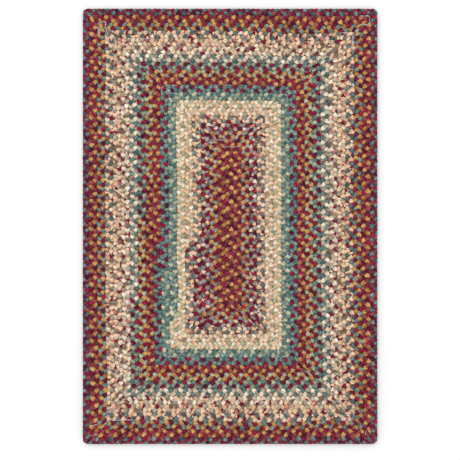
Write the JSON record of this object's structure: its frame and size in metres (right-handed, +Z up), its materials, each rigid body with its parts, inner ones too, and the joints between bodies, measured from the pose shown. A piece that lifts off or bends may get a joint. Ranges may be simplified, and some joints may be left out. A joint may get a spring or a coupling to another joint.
{
  "type": "braided rug",
  "caption": "Flat rectangular rug of three-strand cotton plait wound as a rectangular spiral, with closed rings of plait sewn round it.",
  "frame": {"origin": "centre of the underside, on the floor", "axes": "+X across the rug, +Y along it towards the head, +Z up out of the floor"},
  "size_m": [0.5118, 0.7566, 0.0085],
  "materials": {
    "core_cotton": "plaited cotton strips in cream, peach, teal, gold and burgundy",
    "teal_gold_cotton": "plaited cotton strips in burgundy, gold and light teal",
    "gold_cotton": "plaited cotton strips in burgundy, rust rose and gold",
    "rim_cotton": "plaited cotton strips in burgundy, rust rose and teal"
  },
  "bodies": {
    "root": {"spiral_core": "core_cotton", "teal_gold_ring": "teal_gold_cotton", "gold_ring": "gold_cotton", "rim_ring": "rim_cotton"}
  },
  "joints": []
}
